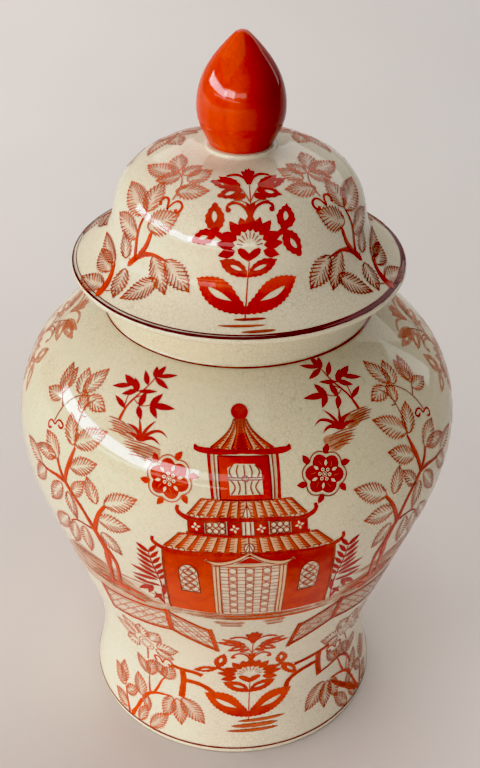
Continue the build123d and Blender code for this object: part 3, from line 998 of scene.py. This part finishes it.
def spray(p):
    """The dark plant against the hall's side, at its left: pairs of blades over looser leaves."""
    stem = [(-20.4, 118), (-19.8, 130), (-19.6, 141), (-20.6, 152), (-21.4, 163)]
    p.stroke(stem, (0.5, 0.7, 0.7, 0.6, 0.4), 0.7, "red")
    for i in range(6):
        y = 142 + 3.9 * i
        x = float(np.interp(y, [r for _, r in stem], [a for a, _ in stem]))
        p.blade((x, y), (x - 5.4 + 0.45 * i, y + 5.4 - 0.2 * i), 2.6, 0.8)
        p.blade((x, y), (x + 2.5, y + 6.6), 2.2, 0.8)
    for a, r, tip_a, tip_r, width in (
        (-20.2, 143, -27.6, 147.8, 3), (-20.2, 141, -28, 140.2, 2.8), (-22.6, 135, -28, 137.4, 2.8),
        (-22.6, 134, -27.6, 126.6, 3.2), (-22.4, 134, -24.6, 125.4, 2.6), (-19.8, 136, -25.4, 135.6, 2.2),
        (-20.2, 128, -23.4, 121.6, 2.4), (-19.8, 127, -18.6, 139, 2.4), (-20.2, 119, -22.6, 128.6, 2.2),
    ):
        p.blade((a, r), (tip_a, tip_r), width, 0.8)


def fence(p, low_a, high_a, low_b, high_b, across):
    """One panel of trellis between two posts."""
    inner = [between(low_a, high_a, .1), between(low_b, high_b, .1),
             between(low_b, high_b, .9), between(low_a, high_a, .9)]
    net(p, *inner, across, 3, 0.36, tone=0.2)
    middle, along = np.add(inner[0], inner[2]) / 2, np.subtract(inner[1], inner[0])
    for i in range(across):
        p.ring(tuple(middle + along * ((i + 0.5) / across - 0.5)), 1.2, 0.36, 0.3)
    p.patch([low_a, low_b, high_b, high_a], 0.02, "wash")
    for rail in ((low_a, low_b), (high_a, high_b)):
        p.stroke(rail, 1.8, 0.3, "red")
        p.stroke(rail, 0.5, 0.6)
    for rail in ((inner[0], inner[1]), (inner[3], inner[2])):
        p.stroke(rail, 0.45, 0.5)
    for foot, head in ((low_a, high_a), (low_b, high_b)):
        p.stroke([(foot[0], foot[1] - 1.2), (head[0], head[1] + 1.8)], 2.4, 0.3, "red")
        p.stroke([(foot[0] + .6, foot[1] - 1.2), (head[0] + .6, head[1] + 1.8)], 0.5, 0.7)


def undergrowth(p):
    """Branches, leaves and a large flower at the left of the foot. Angles are from the foot's upright."""
    for points, width in (
        ([(-47.6, 18), (-43.6, 25), (-38.6, 28.2), (-33, 29.6)], (2.6, 2.0, 1.4, 0.8)),
        ([(-43.8, 25), (-44.4, 31), (-44.2, 38)], (1.2, 0.9, 0.5)),
        ([(-41.8, 27), (-39.4, 33), (-37.4, 39), (-35.4, 42)], (1.5, 1.4, 1.2, 0.6)),
        ([(-52, 3.8), (-50.6, 8), (-47.6, 18)], (3.0, 2.0, 2.2)),
        ([(-53, 3.8), (-56, 11), (-58.4, 18)], (1.6, 1.2, 0.8)),
    ):
        p.stroke(points, width, 0.3, "red", taper=0.06)
    for a, r, tip_a, tip_r, width in (
        (-28.4, 31, -18.6, 18, 9), (-30.6, 29.6, -28, 14, 8), (-33, 29.6, -35.6, 15, 7),
        (-36.6, 41, -31.6, 52, 7.2), (-36, 42, -40, 52, 6.4), (-44.2, 38, -41.4, 51, 6.4),
        (-44.4, 38, -50, 49, 7), (-48, 20, -51, 33.6, 8), (-46, 22, -43.6, 13, 5),
        (-47.6, 4.4, -44.6, 15.6, 5.4), (-41.6, 4.4, -34.4, 17, 6.6),
        (-58.4, 18, -67, 26, 9), (-57.4, 15, -50.6, 22, 6), (-54.6, 7, -64, 11, 6.4),
        (-60, 19, -60.4, 33, 7),
    ):
        p.leaf((a, r), (tip_a, tip_r), width, 0.25, 0.25)
    # flower: hatched petals round a pale heart
    for *tip, width in ((-28.4, 69, 8.4), (-34.6, 81.4, 7.6), (-42.4, 83, 7.8), (-50.4, 82, 7.6),
                        (-56.6, 72, 8), (-31, 59.6, 7.2), (-54, 58.8, 7.6)):
        p.leaf(between((-42.6, 64.6), tip, 0.36), tip, width, 0.25)
    p.ring((-42.6, 64.8), 4.6, 0.4, 0.45)
    p.ring((-42.6, 64.8), 2.8, 0.35, 0.4)
    p.stroke([(-44.2, 50), (-43.4, 56), (-43, 60)], 0.8, 0.35, "red")
    scroll(p, -40, -32, 52.4, 0.4)


def bars(p):
    """The angular branches beside the foot's flower spray, paler at its left."""
    for tone, points, width in (
        (0.15, [(-25.4, 54.2), (-20.4, 53.2), (-14.4, 52.8), (-12.4, 51.6)], (2.2, 2.7, 2.8, 3.2)),
        (0.15, [(-20.6, 53.4), (-20.4, 45), (-21.6, 31.5)], 3.4),
        (0.15, [(-20, 44.8), (-14.4, 44.6), (-10.4, 42.2), (-8, 38.6), (-8, 35.4)], 2.9),
        (0.55, [(24.8, 56.6), (30, 57.6), (36, 58.8), (41, 60)], 2.8),
        (0.55, [(36, 58.6), (37, 49), (38.6, 38.4)], 3.4),
        (0.55, [(22.6, 37), (22.8, 43), (26, 47.6), (31, 50), (36.4, 51)], 2.9),
        (0.55, [(39, 39.6), (45, 40.4), (51, 41), (57, 36), (61, 27)], (1.2, 1.8, 2.0, 1.6)),
        (0.55, [(46, 28), (51, 21), (56, 15), (63, 6)], (1.4, 3.2, 3.6, 2.4)),
    ):
        p.stroke(points, width, tone, "red", sharp=len(points) < 4)
        p.stroke(points, 0.4, tone + 0.3, taper=0.1)


def grove(p):
    """The branch at the left of the lid's spray, from rim to collar. Angles are from the lid's upright."""
    for points, width in (
        ([(-60.2, 2.6), (-60.4, 9), (-62.6, 15), (-65, 19)], (3.8, 3.4, 2.6, 1.4)),
        ([(-57, 21.6), (-53.4, 27), (-50, 29.4), (-46, 31.2), (-41, 31.6), (-36, 30.6)],
         (2.6, 2.8, 2.4, 2.0, 1.5, 0.8)),
        ([(-52.6, 28), (-48.6, 34), (-46.6, 41)], (2.4, 2.2, 1.8)),
        ([(-54.4, 26), (-55, 33), (-54.6, 41), (-53.4, 47)], (2.0, 1.6, 1.2, 0.7)),
    ):
        p.stroke(points, width, 0.35, "red", taper=0.04)
        p.stroke([(a + 0.6, r) for a, r in points], 0.4, 0.55)
    for points in (
        [(-42.6, 57), (-43.2, 63), (-46.6, 67.4), (-51, 69.6), (-56, 70.4)],
        [(-43.2, 62), (-40.4, 65), (-39.4, 69)], [(-55, 23), (-57.6, 25)], [(-58.6, 7), (-54.4, 10)],
    ):
        p.stroke(points, 0.5, 0.3)
    for a, r, tip_a, tip_r, width in (
        (-61, 8, -74, 3.6, 8), (-64, 15, -79.4, 17.6, 8), (-65, 19, -86, 23, 7), (-57.4, 20, -53.4, 7, 7.4),
        (-59.6, 24, -65, 34, 7.6), (-39.6, 22, -50, 8.4, 7.6), (-44, 31, -34.4, 17.4, 7.8),
        (-37, 31.6, -25, 20.8, 9.2), (-54.8, 36, -73, 39.4, 9.6), (-53, 47, -78, 53, 9.6),
        (-53, 48, -56, 62.4, 9), (-49.4, 42, -35.4, 51.4, 9.4), (-44.4, 61.4, -25, 65.6, 7.2),
        (-42.6, 68, -32, 78, 7.6), (-51, 69.6, -62, 61.4, 7), (-54, 70, -82, 63, 8),
        (-56, 70.4, -78, 78, 7.4), (-50, 70, -45, 79, 6.4),
    ):
        paler = min(max((r - 30) / 35, 0), 1)
        p.leaf((a, r), (tip_a, tip_r), width, 0.45 - 0.55 * paler, 0.18)
    scroll(p, -48.6, -35.4, 52.2)


# degrees from the front to the uprights about which the foot's and the lid's branches are mirrored
FOOT_UPRIGHT = 7.0
LID_UPRIGHT = 4.8


def lean(r):
    """The pagoda's upright, in degrees from the front at each rise."""
    return np.interp(r, [25, 70, 95, 120, 165, 205, 235], [6.5, 6.5, 7, 4.2, 3.6, 2.2, 0.7])


def mirrored(a, r):
    """The right tree's place: the left one's, mirrored about the leaning upright, its upper part raised."""
    upright = lean(r) + np.interp(r, [190, 215, 240], [0, 0.2, 0.6])
    return 2 * upright - a, r + 5.0 * np.clip((r - 150) / 60, 0, 1)


def ground(p):
    """Warm washes under the tree and the hall, at the left of the picture."""
    p.patch([[(-66, 108), (-60, 122), (-53, 134), (-47, 140), (-41, 138), (-35, 134), (-29, 127),
              (-22, 121), (-15, 118.5)],
             [(-15, 118.5), (-16, 113), (-22, 111.5), (-30, 110.5), (-42, 108), (-55, 105), (-66, 108)]],
            0.36, "wash")
    p.patch([[(-48, 117), (-42, 126), (-36, 128), (-30, 124), (-24, 117.5), (-34, 114), (-48, 117)]],
            0.5, "wash")
    p.dashes(-60, -22, 116, 136, 22, 0.5, 2.6)
    p.dashes(-46, -27, 114, 123, 12, 0.2, 1.8, "red")
    p.stroke([(-52, 134), (-44, 136.4), (-37, 136)], 1.0, 0.4, taper=0.2)


def doorstep(p):
    """Washes and brush marks in front of the hall. Angles are from its upright."""
    p.patch([[(-26, 112), (-24, 119), (0, 118.4), (26, 119), (34, 121), (33, 113)],
             [(33, 113), (18, 111), (4, 112.4), (-10, 111), (-26, 112)]], 0.12, "wash")
    p.dashes(-24, 28, 112, 118, 20, 0.5, 1.3)
    p.dashes(-18, 24, 112, 116.5, 7, 0.1, 0.8, "red")
    for left, right, rise in ((-11.4, -2, 109), (-10, -3, 106.4), (3.4, 10.4, 110), (4, 9.6, 107)):
        p.stroke([(left, rise), (right, rise + .3)], 2.2, 0.55, "wash", taper=0.05)
        p.stroke([(left, rise - .9), (right, rise - .6)], 0.45, 0.3, taper=0.1)


def paint_jar(side, turn):
    """One of the jar's two pictures, with the flower spray at its left."""
    p = Painter(f"jar_{side}", JAR_SKIN, turn)
    # the right copy is painted deeper: partly the painting's own darker tone, partly painted shade on the
    # side away from the light
    for place, shade in ((as_drawn, 0.0), (mirrored, 0.2)):
        p.at, p.shade = place, 0.0
        ground(p)
        p.shade = shade
        tree(p)
        sprig(p)
        spray(p)
    # the left undergrowth is painted paler and the right deeper: partly the painting's own tone, partly
    # painted light on the lit left and painted shade on the right
    for m, shade in ((1, -0.4), (-1, 0.15)):
        p.at = lambda a, r: (m * a + FOOT_UPRIGHT + (1 - m) / 2 * np.interp(r, [42, 62], [6, 0]), r)
        p.shade = shade
        undergrowth(p)
        p.at = lambda a, r: (m * a + FOOT_UPRIGHT, r)
        fence(p, (-12.6, 78.6), (-14.6, 99), (-27.6, 93), (-27.4, 111.4), 4)
        fence(p, (-27.8, 93), (-27.6, 111.4), (-54, 86), (-53, 106), 7)
    p.at, p.shade = (lambda a, r: (a + lean(r), r)), 0.0
    doorstep(p)
    pagoda(p)
    p.at = as_drawn
    bars(p)
    # the left rosette is painted paler: painted highlight, where the window's sheen washes over it
    for centre, shade in (((-16.4, 202.2), -0.4), ((22.2, 203.2), 0.0)):
        p.shade = shade
        rosette(p, centre)
    p.shade = -0.3
    palmette(p, lambda r: 6.6, 18.2, 1.1, 1.26, 0.5, marks=FOOT_MARKS)
    p.shade = 0.0
    # the side sprays are drawn in the thin ink, so they come out pale: partly their own light painting,
    # partly painted sheen where the flanks catch grazing reflections
    palmette(p, lambda r: -91, 168, 1.05, 1.65, ink="wash")
    p.finish()


def paint_lid(side, turn):
    """One of the lid's two pictures: the flower spray between two branches."""
    p = Painter(f"lid_{side}", LID_SKIN, turn)
    # the right branch is painted deeper: partly its own darker tone, partly painted shade on the side away
    # from the light
    for m, shade in ((1, 0.0), (-1, 0.3)):
        p.at, p.shade = (lambda a, r: (m * a + LID_UPRIGHT, r)), shade
        grove(p)
    p.at, p.shade = as_drawn, 0.0
    palmette(p, lambda r: 2.4 + 0.066 * (r - 12), 8.4, 1.0, 1.0)
    p.finish()


def paint_lines():
    """The plain lines round the foot, the neck and the lid's rim."""
    p = Painter("jar_lines", JAR_SKIN)
    p.stroke([(a, 3.7) for a in range(0, 361, 30)], 1.0, 0.9, step=3.0)
    neck = [(a, 254.2) for a in range(-180, 181, 30)]
    p.stroke(neck, (0.9, 0.6, 0.55, 0.6, 0.9, 1.1, 1.2, 1.1, 0.9), 0.8, step=3.0)
    p.finish()
    p = Painter("lid_lines", LID_SKIN)
    for rise, sway, widths, tone in ((2.1, 0.5, (0.7, 1.5, 2.3, 1.9, 0.7), 0.5),
                                     (3.5, 0.1, (0.3, 0.7, 1.2, 0.9, 0.3), 0.2)):
        rim = [(a, rise + sway * math.sin(math.radians(a))) for a in range(-90, 271, 30)]
        p.stroke(rim, widths, tone, "maroon", step=3.0)
    p.finish()


FLANK, NECK = jar_outside()
JAR_SKIN = Skin(np.concatenate([[(75.5, 0)], FLANK, NECK[1:]]), "jar")
LID_SKIN = Skin(lid_outside(), "lid")

# ---------------------------------------------------------------- stage, light, camera

def build_floor():
    """Pale paper, with painted light and shade: the near part darker than the far part, and each side given
    its own tint and brightness.
    """
    bpy.ops.mesh.primitive_plane_add(size=16, location=(0, 2.0, -0.0002))
    floor = bpy.context.object
    floor.name = "floor"
    n = Nodes(bpy.data.materials.new("pale_paper"))
    x, y = n.axis("X"), n.axis("Y")
    # painted light and shade: the paper is darker at the front than at the back, and darker at the far right
    # than at the far left
    side = n.ramp(x, -0.5, 0.5)
    near = n.mix(side, (0.655, 0.59, 0.55), (0.755, 0.70, 0.67))
    far = n.mix(side, (0.91, 0.85, 0.80), (0.74, 0.70, 0.68))
    tone = n.mix(n.ramp(y, -2.35, -1.3), near, far)
    # painted light: the paper is painted paler just to the right of the jar, standing for light thrown back
    # by the jar that softens its shadow there
    beside, along = n.math("ABSOLUTE", n.math("ADD", x, -0.13)), n.math("ABSOLUTE", n.math("ADD", y, 2.02))
    reach = n.math("ADD", beside, along)
    tone = n.mix(n.ramp(reach, 0.0, 0.26, 1.0, 0.0), tone, (1.2, 1.2, 1.2), "MULTIPLY")
    tone = n.mix(n.ramp(n.noise(2.5), 0.3, 0.7, 0.0, 0.15), tone, (0.68, 0.61, 0.58))
    n.bump(n.noise(900.0), 0.0002, 0.15)
    floor.data.materials.append(n.shade(tone, 0.75))


def build_world():
    """A pale room. Its reflection is dim in front of the jar and shows a pale wall behind it."""
    world = bpy.data.worlds.new("studio")
    bpy.context.scene.world = world
    n = Nodes(world, "Generated")
    ray = n.add("LightPath").outputs
    reflected = n.ramp(n.axis("Y"), 0.1, 0.9, 0.06, 0.55, "LINEAR")
    lit = n.ramp(ray["Is Diffuse Ray"], 0.0, 1.0, reflected, 0.25, "LINEAR")
    seen = n.ramp(ray["Is Camera Ray"], 0.0, 1.0, lit, 0.6, "LINEAR")
    n.put(n.shader.inputs["Color"], (1.0, 0.985, 0.97))
    n.put(n.shader.inputs["Strength"], seen)


# name, azimuth, elevation, distance, width, height, power, tint, shows in reflections, lights surfaces
LIGHTS = (
    ("window", -74, 12, 3.5, 4.4, 0.56, 70, (1.0, 0.985, 0.965), False, True),
    ("window_front", -14, 4, 3.5, 3.6, 0.8, 45, (1.0, 0.985, 0.965), False, True),
    ("window_glint", -76, 17.5, 3.5, 4.5, 0.64, 115, (0.74, 0.88, 1.0), True, False),
    ("front_glint", -32, 18, 3.5, 1.6, 0.6, 36, (0.80, 0.91, 1.0), True, False),
    ("mid_glint", -5, 18, 3.5, 2.2, 0.42, 10, (0.80, 0.91, 1.0), True, False),
    ("low_glint", -40, 9.5, 3.5, 5.0, 0.12, 8, (0.85, 0.92, 1.0), True, False),
    ("ceiling", -80, 66, 3.8, 5.0, 5.0, 52, (1.0, 0.985, 0.97), True, True),
    ("side_glint", 125, 14, 3.5, 0.5, 1.6, 3.5, (0.85, 0.92, 1.0), True, False),
    ("behind", 168, 42, 3.6, 5.0, 3.0, 48, (1.0, 0.985, 0.98), True, True),
)


def soft_box(name, azimuth, elevation, distance, width, height, power, tint, gloss, body):
    """A soft light that faces the jar. azimuth is degrees from the front, positive to the right."""
    a, e = math.radians(azimuth), math.radians(elevation)
    target = Vector((0, 0, 0.2))
    place = target + distance * Vector((math.cos(e) * math.sin(a), -math.cos(e) * math.cos(a), math.sin(e)))
    data = bpy.data.lights.new(name, "AREA")
    data.shape, data.size, data.size_y = "RECTANGLE", width, height
    data.energy, data.color = power, tint
    light = bpy.data.objects.new(name, data)
    light.location = place
    light.visible_glossy, light.visible_diffuse = gloss, body
    light.rotation_euler = (target - place).to_track_quat("-Z", "Y").to_euler()
    bpy.context.scene.collection.objects.link(light)


def build_camera():
    """Looks down on the painted front from a little over half a metre away."""
    data = bpy.data.cameras.new("camera")
    data.lens = 60.96
    data.sensor_width = 36
    data.shift_x = 0.0036
    data.clip_start = 0.01
    camera = bpy.data.objects.new("camera", data)
    down, roll = 0.5876, 0.0148
    turn = Matrix.Rotation(math.pi / 2 - down, 4, "X") @ Matrix.Rotation(roll, 4, "Z")
    camera.matrix_world = Matrix.Translation((0, -0.5327, 0.5353)) @ turn
    bpy.context.scene.collection.objects.link(camera)
    bpy.context.scene.camera = camera


def set_view():
    """Lifts the blacks a little and rolls the highlights off below white."""
    view = bpy.context.scene.view_settings
    view.view_transform = "Standard"
    view.use_curve_mapping = True
    view.curve_mapping.black_level = (0.033, 0.033, 0.033)
    curve = view.curve_mapping.curves[3].points
    curve.new(0.72, 0.72).handle_type = "VECTOR"
    curve[-1].location = (1.0, 0.86)
    view.curve_mapping.update()


build_shells()
paint_lines()
for side, turn in (("front", 0.0), ("back", 180.0)):
    paint_jar(side, turn)
    paint_lid(side, turn)
build_floor()
build_world()
for row in LIGHTS:
    soft_box(*row)
build_camera()
set_view()
